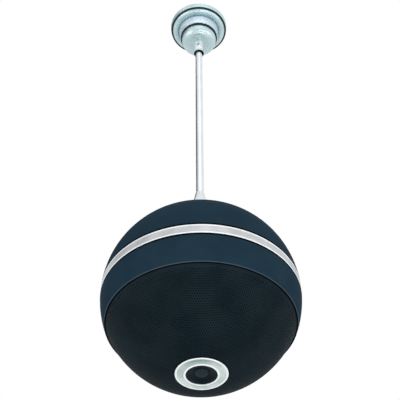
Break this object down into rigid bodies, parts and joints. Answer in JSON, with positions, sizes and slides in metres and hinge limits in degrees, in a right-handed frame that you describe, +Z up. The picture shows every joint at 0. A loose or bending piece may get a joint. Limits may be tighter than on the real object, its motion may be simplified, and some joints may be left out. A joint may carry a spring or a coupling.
{
  "type": "pendant ceiling speaker",
  "caption": "Ball-shaped pendant loudspeaker facing down, with perforated grille and metal trim, hung on a rigid tube from a stepped ceiling rose.",
  "frame": {"origin": "centre of the ceiling contact plane, on the rod's axis", "axes": "+Z up into the ceiling along the rod; the ball hangs in -Z and its grille faces -Z; the rod's clamp screw faces about -Y"},
  "size_m": [0.27, 0.27, 0.7729],
  "materials": {
    "satin_steel": "satin nickel look, fine brushing",
    "rod_steel": "polished and lightly brushed",
    "band_aluminium": "brushed round the ball",
    "ring_aluminium": "satin with bright edges",
    "shell_plastic": "slate black, fine moulded texture",
    "grille_paint": "black powder coat, perforated",
    "tweeter_plastic": "fine matt",
    "zinc_steel": "zinc plated",
    "black_rubber": "matt",
    "baffle_board": "black stained fibreboard",
    "wadding_fleece": "loose polyester fleece",
    "basket_paint": "satin black",
    "cone_paper": "pressed pulp",
    "spider_cloth": "resin treated cotton",
    "former_paper": "kraft",
    "copper": "enamelled copper wire",
    "ferrite": "ground ferrite",
    "laminations": "varnished laminations",
    "board_green": "solder mask",
    "capacitor_film": "plastic film wrap",
    "terminal_white": "moulded",
    "tag_board": "phenolic board"
  },
  "bodies": {
    "root": {"ceiling_bracket": "zinc_steel", "bracket_nut": "zinc_steel", "lock_nut": "zinc_steel", "ceiling_rose": "satin_steel", "rose_gasket": "black_rubber", "canopy_cup": "satin_steel", "clamp_screw": "zinc_steel", "rod": "rod_steel", "ferrule": "satin_steel", "upper_shell": "shell_plastic", "hanger_washer": "zinc_steel", "hanger_nut": "zinc_steel", "wadding": "wadding_fleece", "trim_band": "band_aluminium", "lower_shell": "shell_plastic", "baffle_gasket": "black_rubber", "baffle": "baffle_board", "shell_screws": "zinc_steel", "grille_magnets": "zinc_steel", "woofer_frame": "basket_paint", "woofer_gasket": "black_rubber", "woofer_screws": "zinc_steel", "woofer_surround": "black_rubber", "woofer_cone": "cone_paper", "dust_cap": "cone_paper", "spider": "spider_cloth", "coil_former": "former_paper", "voice_coil": "copper", "front_plate": "zinc_steel", "magnet": "ferrite", "back_plate": "zinc_steel", "woofer_terminal": "tag_board", "grille": "grille_paint", "trim_ring": "ring_aluminium", "tweeter_dish": "tweeter_plastic", "tweeter_dome": "tweeter_plastic", "tweeter_magnet": "ferrite", "transformer_core": "laminations", "transformer_coil": "copper", "transformer_clamp": "zinc_steel", "crossover_board": "board_green", "crossover_capacitor": "capacitor_film", "crossover_inductor": "copper", "terminal_block": "terminal_white"}
  },
  "joints": []
}
